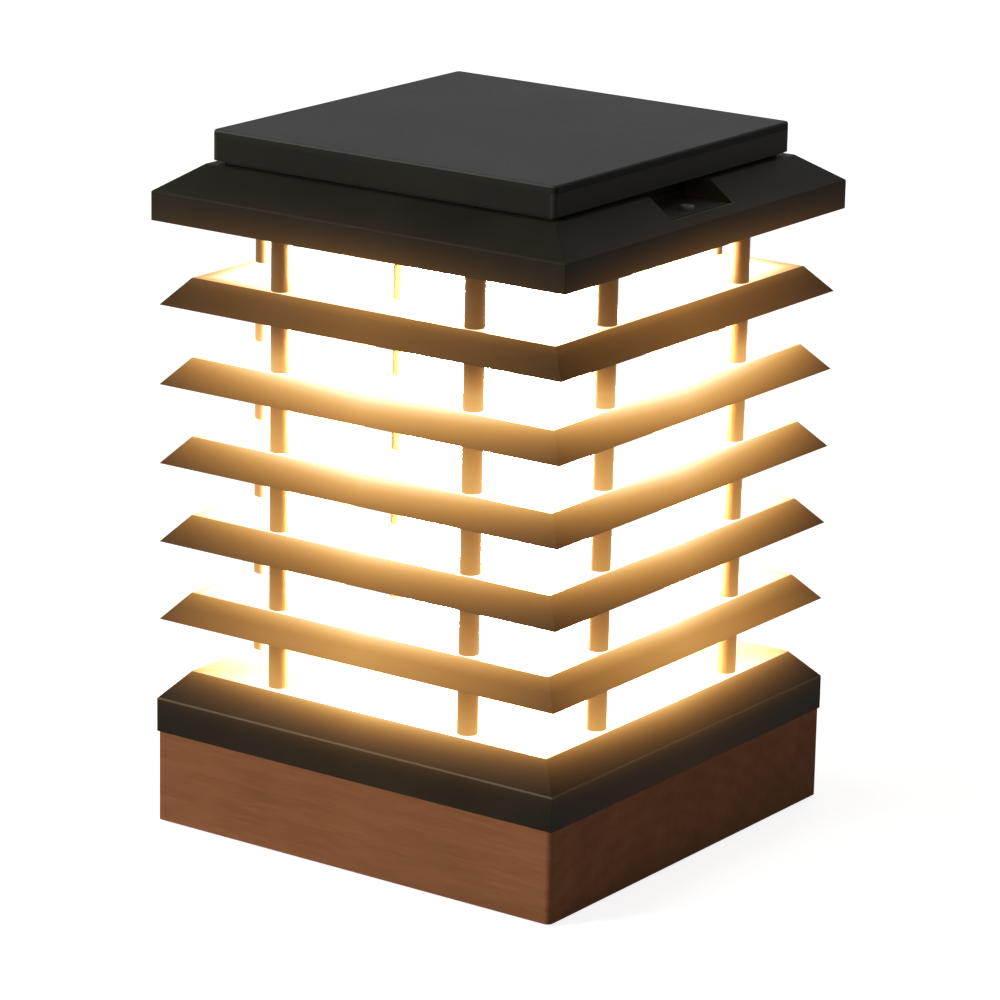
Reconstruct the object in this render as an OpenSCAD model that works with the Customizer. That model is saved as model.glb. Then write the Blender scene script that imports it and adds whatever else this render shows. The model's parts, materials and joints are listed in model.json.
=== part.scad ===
// Solar table lamp: a wood block, a hipped base plate, five levels of mitred slats on eight posts,
// a hipped roof and a solar module that lifts out of it. The light stands inside as an opal tube.
// Z is up, the origin is the middle of the surface that the feet stand on, and the finger notch
// with the power button faces +X.

/* [Base] */
// Width of the wood block and of the plate on it
base_w = 184; // [180:1:196]
// Height of the wood block
wood_h = 35.6; // [25:0.1:50]
// Radius of the wood block's upright edges
wood_edge_r = 2.5; // [1:0.5:6]
// Diameter of a rubber foot
foot_d = 20; // [14:1:24]
// How far a foot stands below the wood
foot_proud = 1; // [0.5:0.1:2]
// Depth of a foot's pocket in the wood
foot_pocket = 1.5; // [1:0.1:3]
// Distance from the wood's side to a foot's centre
foot_inset = 18; // [14:1:22]
// Distance from the wood's side to a base screw
base_screw_inset = 36; // [33:1:44]
// Height of the base plate's upright edge
plate_edge_h = 13.2; // [10:0.1:18]
// Height of the base plate's slope
plate_rise = 10.6; // [8:0.1:14]
// Width of the base plate's slope, seen from above
plate_run = 9.6; // [6:0.1:10]
// Wall of the base plate
plate_wall = 3; // [2:0.1:4]

/* [Slats] */
// How far the slats' lower edges stand back from the wood's sides
slat_inset = 0.6; // [-2:0.1:2]
// Depth of a slat from its outer edge to its inner face
slat_depth = 27.9; // [24:0.1:32]
// Height of a slat
slat_h = 10.2; // [6:0.1:14]
// Width of a slat's outer bevel, seen from above
slat_bevel = 8.8; // [5:0.1:9]
// Gap at the mitre between two slats
mitre_gap = 0.2; // [0.1:0.1:0.6]

/* [Posts] */
// Outer diameter of a post's spacer tubes
post_d = 8; // [7:0.1:10]
// Diameter of the rods inside the posts
rod_d = 4; // [3:0.1:5]
// Length of one spacer tube
spacer_len = 20.5; // [16:0.1:30]
// Distance from a post to the wood's sides along the side that it stands on
post_from_corner = 48; // [44:1:56]
// Distance from a post to the wood's side that it stands on
post_inset = 14; // [13.7:0.1:15]
// Height of the seat under each post on the base plate
low_seat_h = 0.5; // [0.3:0.1:2]
// Height of the seat over each post on the ceiling plate
high_seat_h = 3.4; // [1.5:0.1:4]

/* [Light] */
// Outer diameter of the opal tube
tube_d = 70; // [60:1:76]
// Wall of the opal tube
tube_wall = 2.5; // [2:0.1:3.5]
// Thickness of the rubber ring at each end of the opal tube
tube_ring_t = 1.5; // [1:0.1:3]
// Height of the collars that hold the opal tube
collar_h = 5; // [3:0.1:8]

/* [Roof] */
// How far the roof stands out over the wood's sides
roof_over = 1.5; // [0:0.1:6]
// Height of the roof's upright fascia
fascia_h = 11.1; // [9:0.1:14]
// Height of the roof's slope
roof_rise = 10; // [9:0.1:14]
// Width of the roof's slope, seen from above
roof_run = 14.3; // [11:0.1:15]
// Wall of the roof
roof_wall = 3; // [2.4:0.1:3.4]
// How far the fascia hangs below the ceiling plate
skirt_drop = 1.8; // [0.5:0.1:3]
// Thickness of the ceiling plate
ceiling_t = 3; // [2.5:0.1:4]
// Width of the finger notch
notch_w = 40; // [36:1:46]
// Height of the sill that stays between the roof's crease and the notch
notch_sill = 2.6; // [2.2:0.1:3.2]

/* [Solar module] */
// How far the cap stands back from the roof's edge
cap_inset = 16; // [14.6:0.1:18]
// Height of the cap, with its cover
cap_h = 11.6; // [10.6:0.1:14]
// Radius of the cap's upright edges
cap_edge_r = 2; // [1:0.5:5]
// Thickness of the smoked cover over the solar panel
cover_t = 3; // [2:0.1:4]
// Thickness of the gasket between the roof and the cap
gasket_t = 1.4; // [0.8:0.1:2.4]
// How far the module's body in the roof's well stands back from the cap's sides
module_inset = 10; // [9:0.1:12]
// Diameter of a battery cell
cell_d = 14.2; // [10:0.1:16]
// Length of a battery cell
cell_len = 50; // [44:0.5:65]
// Diameter of the power button
button_d = 5.4; // [4.6:0.1:6]
// How far the power button stands out of the notch's floor
button_proud = 1.5; // [1.2:0.1:2.5]
// Travel of the power button
button_travel = 1.2; // [0.6:0.1:1.2]
// Diameter of the round light board
light_board_d = 52; // [46:1:54]

/* [Hidden] */
$fn = 64;

// Overshoot of a cut past the face that it starts from
cut = 1;
// Number of slat levels
levels = 5;
// Clearance round the module's body and tab in the roof
module_gap = 0.5;
// Clearance between the module and the ceiling plate under it
module_lift = 1.4;
// Clearance of a rod in a hole, on the radius
rod_gap = 0.2;
// Clearance of a nut or a screw on its thread, on the radius
thread_gap = 0.05;
// Clearance of the opal tube in its collars and of the ceiling plate in the roof
seat_gap = 0.3;
// How far a screw boss in a corner runs into the walls beside it
wall_bite = 0.5;

// Widths and places that follow from the wood's width
foot_at = base_w / 2 - foot_inset;
base_screw_at = base_w / 2 - base_screw_inset;
slat_w = base_w - 2 * slat_inset;
post_span = base_w - 2 * post_from_corner;
post_reach = base_w / 2 - post_inset;
roof_w = base_w + 2 * roof_over;
cap_w = roof_w - 2 * cap_inset;
body_w = cap_w - 2 * module_inset;

// Heights from the table up
z_wood = foot_proud;
z_plate_low = z_wood + wood_h;
z_plate_edge = z_plate_low + plate_edge_h;
z_plate = z_plate_edge + plate_rise;
z_first_post = z_plate + low_seat_h;
pitch = slat_h + spacer_len;
z_high_seat = z_first_post + spacer_len + levels * pitch;
z_ceiling = z_high_seat + high_seat_h;
z_ceiling_top = z_ceiling + ceiling_t;
z_fascia = z_ceiling - skirt_drop;
z_crease = z_fascia + fascia_h;
z_roof = z_crease + roof_rise;
z_notch = z_crease + notch_sill;
z_cap = z_roof + gasket_t;
z_cap_top = z_cap + cap_h;
z_cover = z_cap_top - cover_t;

// Base plate and wood
screw_boss_d = 11;
wood_screw_d = 3.9;
wood_screw_head_d = 8.4;
wood_screw_head_h = 3;
wood_screw_sink = 8;
wood_screw_bite = 15;
foot_gap = 0.3;

// Posts
rod_past_nut = 1.4;
nut_h = 3.2;
nut_ratio = 1.75;
nut_flats = rod_d * nut_ratio;
nut_corner_d = nut_flats / cos(30);
low_seat_rim = 0.3;
high_seat_rim = 1.5;
nut_boss_rim = 1.2;
nut_seat_h = 2.2;
z_low_nut = z_plate - plate_wall - nut_seat_h - nut_h;
rod_low = z_low_nut - rod_past_nut;
rod_high = z_ceiling_top + nut_h + rod_past_nut;

// Opal tube
tube_low = z_plate + tube_ring_t;
tube_high = z_ceiling - tube_ring_t;
collar_wall = 2.5;
ceiling_hole_d = tube_d - 2 * tube_wall;

// Roof
ceiling_w = roof_w - 2 * roof_wall - 2 * seat_gap;
well_w = body_w + 2 * module_gap;
well_wall = 2.5;
well_lift = 3;
z_well = z_ceiling_top + well_lift;
notch_cheek = 2.5;
notch_lip = 1.4;
notch_lip_x = roof_w / 2 - notch_sill * roof_run / roof_rise;
tab_pocket_x = notch_lip_x - notch_lip;
roof_boss_d = 9;
roof_boss_inset = 13.5;
roof_boss_at = roof_w / 2 - roof_boss_inset;
roof_screw_d = 2.9;
roof_screw_head_d = 7;
roof_screw_head_h = 2.4;
roof_screw_bite = 9;
gasket_inset = 3.5;
gasket_w = cap_w - 2 * gasket_inset;

// Solar module
body_wall = 2.5;
shelf_t = 2.5;
cap_wall = 2.6;
ledge_wall = 5.4;
cover_edge = 1;
panel_t = 2;
cell_strip_t = 0.3;
strip_count = 8;
strip_gap = 0.8;
strip_border = 3;
panel_slip = 0.3;
panel_air = 0.1;
z_panel = z_cover - panel_air - cell_strip_t - panel_t;
floor_t = 2.5;
z_floor = z_ceiling_top + module_lift;
z_body = z_floor + floor_t;
body_boss_d = 8;
body_boss_at = body_w / 2 - body_wall - body_boss_d / 2 + wall_bite;
floor_screw_d = 2.6;
floor_screw_head_d = 5;
floor_screw_head_h = 1.5;
floor_screw_len = 12;

// Tab of the module, with the power button
tab_w = notch_w - 2 * module_gap;
tab_end = tab_pocket_x - module_gap;
tab_wall = 1.6;
tab_top_t = 1.6;
tab_cover_t = 1.6;
tab_step = 0.3;
tab_start = body_w / 2 + tab_step;
tab_drop = 0.2;
z_tab = z_floor - tab_drop;
z_tab_cover = z_tab + tab_cover_t;
z_tab_roof = z_notch - tab_top_t;
tab_boss_d = 5.6;
tab_boss_x = tab_start + tab_wall + tab_boss_d / 2 - wall_bite;
tab_boss_y = tab_w / 2 - tab_wall - tab_boss_d / 2 + wall_bite;
tab_screw_d = 1.7;
tab_screw_head_d = 3.6;
tab_screw_head_h = 0.9;
tab_screw_len = 4.6;
port_w = 9;
port_h = 2.4;
button_gap = 0.25;
button_flange_rim = 0.9;
button_flange_d = button_d + 2 * button_flange_rim;
button_x = tab_end - tab_wall - seat_gap - button_flange_d / 2;
button_flange_t = 1;
button_chamfer = 0.4;
switch_board_t = 1;
switch_board_w = 12;
z_switch = z_tab_cover + switch_board_t;
z_flange = z_tab_roof - button_flange_t;
plunger_base_h = 0.5;
plunger_d = 2.4;
plunger_gap = 0.2;
spring_over = 0.2;
spring_d = button_d + spring_over;
spring_wire = 0.36;
plunger_base_d = spring_d - spring_wire - 2 * seat_gap;
spring_turns = 3;
spring_sides = 6;
spring_steps = 16;

// Inside the module
cell_count = 3;
cell_gap = 0.8;
holder_t = 1;
holder_wall = 1.6;
holder_share = 0.6;
contact_t = 0.8;
contact_share = 0.75;
cell_pitch = cell_d + cell_gap;
holder_in_w = cell_count * cell_pitch + cell_gap;
holder_in_l = cell_len + 2 * contact_t;
cell_tip_d = 5;
cell_tip_h = 1;
board_t = 1.6;
board_w = 40;
board_l = 60;
holder_w = holder_in_w + 2 * holder_wall;
module_in = body_w / 2 - body_wall;
module_spare = 2 * module_in - holder_w - board_w;
holder_margin = 0.4;
board_margin = 0.22;
holder_x = holder_w / 2 - module_in + holder_margin * module_spare;
board_x = module_in - board_margin * module_spare - board_w / 2;
standoff_h = 3;
standoff_d = 5;
standoff_inset = 4;
z_board = z_body + standoff_h;
chip_w = 9;
chip_h = 1.4;
coil_d = 9;
coil_h = 5;
plug_w = 8;
plug_l = 5;
plug_h = 4;
lead_d = 1.2;
lead_pitch = 2.4;
lead_port_d = 3;
panel_lead_step = 8;
panel_lead_x = board_x + panel_lead_step;
panel_lead_y = 12;
light_lead_inset = 4;
light_lead_x = board_x - board_w / 2 + light_lead_inset;
battery_lead_y = -20;

// Light
light_board_t = 1.6;
led_w = 3.2;
led_t = 0.8;
led_ring_d = 40;
led_ring_count = 12;
led_inner_d = 18;
led_inner_count = 6;
lens_wall = 1.4;
lens_gap = 0.3;
lens_d = light_board_d + 2 * lens_gap + 2 * lens_wall;
lens_h = 4.9;

// Colours
ink = [0.13, 0.125, 0.12];
graphite = [0.2, 0.2, 0.2];
bronze = [0.28, 0.2, 0.12];
teak = [0.5, 0.33, 0.21];
steel = [0.7, 0.7, 0.7];
opal = [1, 0.93, 0.78];
rubber = [0.06, 0.06, 0.06];
board_green = [0.1, 0.35, 0.2];

// A square block of width w, from height low to height high
module block(w, low, high) {
    translate([-w / 2, -w / 2, low]) cube([w, w, high - low]);
}

// A box between two corners
module box(a, b) {
    translate(a) cube(b - a);
}

// A round bar of diameter d at a place in plan, from height low to height high
module bar(d, low, high) {
    translate([0, 0, low]) cylinder(d = d, h = high - low);
}

// A square outline of width w with round corners of radius r
module soft_square(w, r) {
    square([w - 2 * r, w], center = true);
    square([w, w - 2 * r], center = true);
    for (x = [-1, 1], y = [-1, 1]) translate([x * (w / 2 - r), y * (w / 2 - r)]) circle(r = r);
}

// A square block, upright from height low to height bend, that narrows from width w0 to width w1
// between there and height high
module hip(w0, w1, low, bend, high) {
    intersection_for (turn = [0, 90]) rotate([0, 0, turn]) rotate([90, 0, 0])
        linear_extrude(height = w0 + cut, center = true)
            polygon([[-w0 / 2, low], [w0 / 2, low], [w0 / 2, bend], [w1 / 2, high],
                     [-w1 / 2, high], [-w0 / 2, bend]]);
}

// A block with an upright edge and a slope above it, closed on top
module hipped(w, low, edge, rise, run) {
    hip(w, w - 2 * run, low, edge, edge + rise);
}

// The hollow of such a block, which keeps the same wall square to the edge, the slope and the top
module hipped_hollow(w, low, edge, rise, run, wall) {
    slope = atan2(rise, run);
    z_bend = edge - wall * (1 - sin(slope)) / cos(slope);
    w_top = w - 2 * (wall / sin(slope) + (rise - wall) / tan(slope));
    hip(w - 2 * wall, w_top, low - cut, z_bend, edge + rise - wall);
}

// Places at the four corners of a square, d from the axis along X and along Y
module at_corners(d) {
    for (x = [-1, 1], y = [-1, 1]) translate([x * d, y * d, 0]) children();
}

// Places of the eight posts, two on each side
module at_posts() {
    for (turn = [0 : 90 : 270], s = [-1, 1])
        rotate([0, 0, turn]) translate([s * post_span / 2, -post_reach, 0]) children();
}

// A ring of outer diameter d and inner diameter bore
module ring(d, bore, low, high) {
    difference() {
        bar(d, low, high);
        bar(bore, low - cut, high + cut);
    }
}

module rubber_feet() {
    color(rubber) at_corners(foot_at) bar(foot_d, 0, foot_proud + foot_pocket);
}

module wood_base() {
    color(teak) difference() {
        translate([0, 0, z_wood]) linear_extrude(height = wood_h) soft_square(base_w, wood_edge_r);
        at_corners(foot_at) bar(foot_d + 2 * foot_gap, z_wood - cut, z_wood + foot_pocket);
        at_corners(base_screw_at) {
            bar(wood_screw_head_d + 2 * foot_gap, z_wood - cut, z_wood + wood_screw_sink);
            bar(wood_screw_d + 2 * rod_gap, z_wood, z_plate_low + cut);
        }
    }
}

module base_screws() {
    z_head = z_wood + wood_screw_sink;
    color(steel) at_corners(base_screw_at) {
        bar(wood_screw_head_d, z_head - wood_screw_head_h, z_head);
        bar(wood_screw_d, z_head - cut, z_plate_low + wood_screw_bite);
    }
}

module base_plate() {
    z_in_wall = z_plate - plate_wall / 2;
    color(ink) difference() {
        union() {
            difference() {
                hipped(base_w, z_plate_low, z_plate_edge, plate_rise, plate_run);
                hipped_hollow(base_w, z_plate_low, z_plate_edge, plate_rise, plate_run, plate_wall);
            }
            at_corners(base_screw_at) bar(screw_boss_d, z_plate_low, z_in_wall);
            at_posts() {
                bar(post_d + 2 * nut_boss_rim, z_low_nut + nut_h, z_in_wall);
                bar(post_d + 2 * low_seat_rim, z_in_wall, z_first_post);
            }
            bar(tube_d + 2 * seat_gap + 2 * collar_wall, z_in_wall, z_plate + collar_h);
        }
        bar(tube_d + 2 * seat_gap, z_plate, z_plate + collar_h + cut);
        at_posts() bar(rod_d + 2 * rod_gap, z_plate_low, z_first_post + cut);
        at_corners(base_screw_at)
            bar(wood_screw_d + 2 * thread_gap, z_plate_low - cut, z_plate_low + wood_screw_bite + cut);
    }
}

// A hexagon nut, with its lower face at height low
module rod_nut(low) {
    difference() {
        translate([0, 0, low]) cylinder(d = nut_corner_d, h = nut_h, $fn = 6);
        bar(rod_d + 2 * thread_gap, low - cut, low + nut_h + cut);
    }
}

module rod_nuts_lower() {
    color(steel) at_posts() rod_nut(z_low_nut);
}

module tie_rods() {
    color(steel) at_posts() bar(rod_d, rod_low, rod_high);
}

module rod_nuts_upper() {
    color(steel) at_posts() rod_nut(z_ceiling_top);
}

// The eight tubes of one level, counted from 0 at the base plate
module spacers(level) {
    low = z_first_post + level * pitch;
    color(bronze) at_posts() ring(post_d, rod_d + 2 * rod_gap, low, low + spacer_len);
}

// One mitred slat along the -Y side, with its lower face at height low
module slat(low) {
    outer = -slat_w / 2;
    mitre = mitre_gap / sqrt(2);
    difference() {
        intersection() {
            rotate([90, 0, 90]) linear_extrude(height = slat_w, center = true)
                polygon([[outer, low], [outer + slat_depth, low],
                         [outer + slat_depth, low + slat_h], [outer + slat_bevel, low + slat_h]]);
            translate([0, -mitre, low - cut]) linear_extrude(height = slat_h + 2 * cut)
                polygon([[0, 0], [-slat_w, -slat_w], [slat_w, -slat_w]]);
        }
        for (s = [-1, 1]) translate([s * post_span / 2, -post_reach, 0])
            bar(rod_d + 2 * rod_gap, low - cut, low + slat_h + cut);
    }
}

// The four slats of one level, counted from 0 at the bottom
module slat_frame(level) {
    color(bronze) for (turn = [0 : 90 : 270]) rotate([0, 0, turn])
        slat(z_first_post + spacer_len + level * pitch);
}

module ceiling_plate() {
    color(ink) difference() {
        union() {
            block(ceiling_w, z_ceiling, z_ceiling_top);
            at_posts() bar(post_d + 2 * high_seat_rim, z_high_seat, z_ceiling + cut);
            bar(tube_d + 2 * seat_gap + 2 * collar_wall, z_ceiling - collar_h, z_ceiling + cut);
        }
        bar(ceiling_hole_d, z_ceiling - collar_h - cut, z_ceiling_top + cut);
        bar(tube_d + 2 * seat_gap, z_ceiling - collar_h - cut, z_ceiling);
        at_posts() bar(rod_d + 2 * rod_gap, z_high_seat - cut, z_ceiling_top + cut);
        at_corners(roof_boss_at) bar(roof_screw_d + 2 * rod_gap, z_ceiling - cut, z_ceiling_top + cut);
    }
}

// The bosses and the notch's cheeks end in the middle of the roof's wall
module roof_frame() {
    z_in_wall = z_roof - roof_wall / 2;
    notch_out = roof_w / 2 + cut;
    cheek = notch_w / 2 + notch_cheek;
    color(ink) difference() {
        union() {
            difference() {
                hipped(roof_w, z_fascia, z_crease, roof_rise, roof_run);
                hipped_hollow(roof_w, z_fascia, z_crease, roof_rise, roof_run, roof_wall);
            }
            block(well_w + 2 * well_wall, z_well, z_in_wall);
            intersection() {
                hipped_hollow(roof_w, z_fascia, z_crease, roof_rise, roof_run, roof_wall / 2);
                union() {
                    at_corners(roof_boss_at) bar(roof_boss_d, z_ceiling_top, z_roof);
                    box([well_w / 2, -cheek, z_well], [notch_out, cheek, z_roof]);
                }
            }
        }
        block(well_w, z_well - cut, z_roof + cut);
        box([0, -notch_w / 2, z_notch], [notch_out, notch_w / 2, z_roof + cut]);
        box([0, -notch_w / 2, z_well - cut], [tab_pocket_x, notch_w / 2, z_roof + cut]);
        at_corners(roof_boss_at)
            bar(roof_screw_d + 2 * thread_gap, z_ceiling_top - cut, z_ceiling_top + roof_screw_bite + cut);
    }
}

module roof_screws() {
    color(steel) at_corners(roof_boss_at) {
        bar(roof_screw_head_d, z_ceiling - roof_screw_head_h, z_ceiling);
        bar(roof_screw_d, z_ceiling - cut, z_ceiling_top + roof_screw_bite);
    }
}

module roof_gasket() {
    color(rubber) difference() {
        block(gasket_w, z_roof, z_cap);
        block(well_w + 2 * seat_gap, z_roof - cut, z_cap + cut);
        box([0, -notch_w / 2, z_roof - cut], [gasket_w, notch_w / 2, z_cap + cut]);
    }
}

module diffuser_tube() {
    color(opal) ring(tube_d, tube_d - 2 * tube_wall, tube_low, tube_high);
}

module tube_rings() {
    color(rubber) {
        ring(tube_d, tube_d - 2 * tube_wall, z_plate, tube_low);
        ring(tube_d, tube_d - 2 * tube_wall, tube_high, z_ceiling);
    }
}

// Outer form of the cap over the roof, from height low to height high
module cap_form(low, high) {
    translate([0, 0, low]) linear_extrude(height = high - low) soft_square(cap_w, cap_edge_r);
}

module module_housing() {
    z_shelf = z_cap + shelf_t;
    z_in_shelf = z_cap + shelf_t / 2;
    color(ink) difference() {
        union() {
            difference() {
                union() {
                    cap_form(z_cap, z_cover);
                    block(body_w, z_body, z_in_shelf);
                }
                block(cap_w - 2 * ledge_wall, z_shelf, z_cover);
                block(cap_w - 2 * cap_wall, z_panel, z_cover + cut);
                block(body_w - 2 * body_wall, z_body - cut, z_cover);
            }
            at_corners(body_boss_at) bar(body_boss_d, z_body, z_in_shelf);
            difference() {
                rotate([90, 0, 0]) linear_extrude(height = tab_w, center = true)
                    polygon([[module_in, z_body], [tab_start, z_body], [tab_start, z_tab_cover],
                             [tab_end, z_tab_cover], [tab_end, z_notch], [module_in, z_notch]]);
                box([tab_start + tab_wall, tab_wall - tab_w / 2, z_tab_cover - cut],
                    [tab_end - tab_wall, tab_w / 2 - tab_wall, z_tab_roof]);
            }
            for (s = [-1, 1]) translate([tab_boss_x, s * tab_boss_y, 0])
                bar(tab_boss_d, z_tab_cover, z_notch - cut);
        }
        box([module_in - cut, -port_w / 2, z_tab_roof - port_h],
            [tab_start + tab_wall + cut, port_w / 2, z_tab_roof]);
        translate([button_x, 0, 0]) bar(button_d + 2 * button_gap, z_tab_roof - cut, z_notch + cut);
        at_corners(body_boss_at)
            bar(floor_screw_d + 2 * thread_gap, z_body - cut, z_floor + floor_screw_len + cut);
        for (s = [-1, 1]) translate([tab_boss_x, s * tab_boss_y, 0])
            bar(tab_screw_d + 2 * thread_gap, z_tab_cover - cut, z_tab + tab_screw_len + tab_top_t / 2);
    }
}

module panel_cover() {
    color(graphite) intersection() {
        cap_form(z_cover, z_cap_top);
        hipped(cap_w, z_cover, z_cap_top - cover_edge, cover_edge, cover_edge);
    }
}

module solar_panel() {
    color([0.08, 0.1, 0.16]) block(cap_w - 2 * cap_wall - 2 * panel_slip, z_panel, z_panel + panel_t);
}

module solar_cells() {
    field = cap_w - 2 * cap_wall - 2 * panel_slip - 2 * strip_border;
    strip = (field - (strip_count - 1) * strip_gap) / strip_count;
    low = z_panel + panel_t;
    color([0.05, 0.06, 0.12]) for (i = [0 : strip_count - 1])
        translate([-field / 2 + i * (strip + strip_gap), -field / 2, low])
            cube([strip, field, cell_strip_t]);
}

module module_floor() {
    color(ink) {
        difference() {
            block(body_w, z_floor, z_body);
            at_corners(body_boss_at) {
                bar(floor_screw_d + 2 * rod_gap, z_floor - cut, z_body + cut);
                bar(floor_screw_head_d + 2 * rod_gap, z_floor - cut, z_floor + floor_screw_head_h);
            }
            translate([light_lead_x, 0, 0]) bar(lead_port_d + lead_pitch, z_floor - cut, z_body + cut);
        }
        for (x = [-1, 1], y = [-1, 1])
            translate([board_x + x * (board_w / 2 - standoff_inset),
                       y * (board_l / 2 - standoff_inset), 0])
                bar(standoff_d, z_body - cut, z_board);
    }
}

module floor_screws() {
    color(steel) at_corners(body_boss_at) {
        bar(floor_screw_head_d, z_floor, z_floor + floor_screw_head_h);
        bar(floor_screw_d, z_floor, z_floor + floor_screw_len);
    }
}

// The places of the battery cells' axes, side by side
function cell_x(i) = holder_x + (i - (cell_count - 1) / 2) * cell_pitch;

module battery_holder() {
    half_w = holder_in_w / 2;
    half_l = holder_in_l / 2;
    color(rubber) difference() {
        box([holder_x - holder_w / 2, -half_l - holder_wall, z_body],
            [holder_x + holder_w / 2, half_l + holder_wall, z_body + holder_t + cell_d * holder_share]);
        box([holder_x - half_w, -half_l, z_body + holder_t],
            [holder_x + half_w, half_l, z_body + holder_t + cell_d]);
    }
}

module battery_cells() {
    color([0.25, 0.45, 0.25]) for (i = [0 : cell_count - 1])
        translate([cell_x(i), 0, z_body + holder_t + cell_d / 2]) rotate([90, 0, 0]) {
            translate([0, 0, -cell_len / 2]) cylinder(d = cell_d, h = cell_len - cell_tip_h);
            translate([0, 0, -cell_len / 2]) cylinder(d = cell_tip_d, h = cell_len);
        }
}

module battery_contacts() {
    color(steel) for (i = [0 : cell_count - 1], s = [-1, 1])
        translate([cell_x(i) - cell_tip_d / 2, s * (cell_len + contact_t) / 2 - contact_t / 2,
                   z_body + holder_t])
            cube([cell_tip_d, contact_t, cell_d * contact_share]);
}

module control_board() {
    color(board_green) box([board_x - board_w / 2, -board_l / 2, z_board],
                           [board_x + board_w / 2, board_l / 2, z_board + board_t]);
}

module board_parts() {
    top = z_board + board_t;
    color(rubber) {
        translate([board_x - chip_w / 2, -chip_w / 2, top]) cube([chip_w, chip_w, chip_h]);
        translate([board_x - coil_d, board_l / 2 - coil_d, 0]) bar(coil_d, top, top + coil_h);
        translate([board_x - board_w / 2 + cut, battery_lead_y - plug_w / 2, top])
            cube([plug_l, plug_w, plug_h]);
    }
}

module light_board() {
    color("white") ring(light_board_d, lead_port_d, z_floor - light_board_t, z_floor);
}

module light_leds() {
    high = z_floor - light_board_t;
    color([1, 0.85, 0.4]) {
        for (i = [0 : led_ring_count - 1]) rotate([0, 0, i * 360 / led_ring_count])
            box([(led_ring_d - led_w) / 2, -led_w / 2, high - led_t],
                [(led_ring_d + led_w) / 2, led_w / 2, high]);
        for (i = [0 : led_inner_count - 1]) rotate([0, 0, i * 360 / led_inner_count])
            box([(led_inner_d - led_w) / 2, -led_w / 2, high - led_t],
                [(led_inner_d + led_w) / 2, led_w / 2, high]);
    }
}

module light_lens() {
    color(opal) difference() {
        bar(lens_d, z_floor - lens_h, z_floor);
        bar(lens_d - 2 * lens_wall, z_floor - lens_h + lens_wall, z_floor + cut);
    }
}

module switch_cover() {
    color(ink) difference() {
        box([tab_start, -tab_w / 2, z_tab], [tab_end, tab_w / 2, z_tab_cover]);
        for (s = [-1, 1]) translate([tab_boss_x, s * tab_boss_y, 0]) {
            bar(tab_screw_d + 2 * rod_gap, z_tab - cut, z_tab_cover + cut);
            bar(tab_screw_head_d + 2 * rod_gap, z_tab - cut, z_tab + tab_screw_head_h);
        }
    }
}

module switch_cover_screws() {
    color(steel) for (s = [-1, 1]) translate([tab_boss_x, s * tab_boss_y, 0]) {
        bar(tab_screw_head_d, z_tab, z_tab + tab_screw_head_h);
        bar(tab_screw_d, z_tab, z_tab + tab_screw_len);
    }
}

// The switch's small board reaches from the port in the body's wall to the tab's outer wall
module switch_board() {
    color(board_green) box([tab_start + tab_wall, -switch_board_w / 2, z_tab_cover],
                           [tab_end - tab_wall, switch_board_w / 2, z_switch]);
}

module switch_plunger() {
    color(steel) translate([button_x, 0, 0]) {
        bar(plunger_base_d, z_switch, z_switch + plunger_base_h);
        bar(plunger_d, z_switch, z_flange - button_travel - plunger_gap);
    }
}

// The return spring is one helix; its ends lie half a wire inside the gap between board and flange
module button_spring() {
    rise = z_flange - z_switch - spring_wire;
    steps = spring_turns * spring_steps;
    points = [for (i = [0 : steps], j = [0 : spring_sides - 1])
        let (turn = 360 * i / spring_steps, side = 360 * j / spring_sides,
             r = spring_d / 2 + spring_wire / 2 * cos(side))
        [button_x + r * cos(turn), r * sin(turn),
         z_switch + spring_wire / 2 + rise * i / steps + spring_wire / 2 * sin(side)]];
    walls = [for (i = [0 : steps - 1], j = [0 : spring_sides - 1])
        let (k = (j + 1) % spring_sides, low = i * spring_sides, high = low + spring_sides)
        for (face = [[low + j, high + j, high + k], [low + j, high + k, low + k]]) face];
    first = [for (j = [1 : spring_sides - 2]) [0, j, j + 1]];
    last = [for (j = [1 : spring_sides - 2])
        [steps * spring_sides, steps * spring_sides + j + 1, steps * spring_sides + j]];
    color(steel) polyhedron(points, concat(walls, first, last));
}

module power_button() {
    top = z_notch + button_proud;
    color([0.62, 0.62, 0.6]) translate([button_x, 0, 0]) rotate_extrude()
        polygon([[0, z_flange], [button_flange_d / 2, z_flange], [button_flange_d / 2, z_tab_roof],
                 [button_d / 2, z_tab_roof], [button_d / 2, top - button_chamfer],
                 [button_d / 2 - button_chamfer, top], [0, top]]);
}

// A pair of straight leads along Z
module lead_pair(x, y, low, high) {
    for (s = [-1, 1]) translate([x, y + s * lead_pitch / 2, 0]) bar(lead_d, low, high);
}

// A lead along a list of points, with round elbows
module lead(points) {
    for (i = [0 : len(points) - 2]) {
        step = points[i + 1] - points[i];
        length = norm(step);
        translate(points[i]) rotate([0, acos(step[2] / length), atan2(step[1], step[0])])
            cylinder(d = lead_d, h = length);
    }
    for (i = [1 : len(points) - 2]) translate(points[i]) sphere(d = lead_d);
}

module panel_leads() {
    color("firebrick") lead_pair(panel_lead_x, panel_lead_y, z_board + board_t, z_panel);
}

module battery_leads() {
    x = holder_x + holder_w / 2;
    z = z_board + board_t + plug_h / 2;
    color("firebrick") for (s = [-1, 1]) translate([x, battery_lead_y + s * lead_pitch / 2, z])
        rotate([0, 90, 0]) cylinder(d = lead_d, h = board_x - board_w / 2 + cut - x);
}

module light_leads() {
    color("firebrick") lead_pair(light_lead_x, 0, z_floor, z_board);
}

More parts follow.
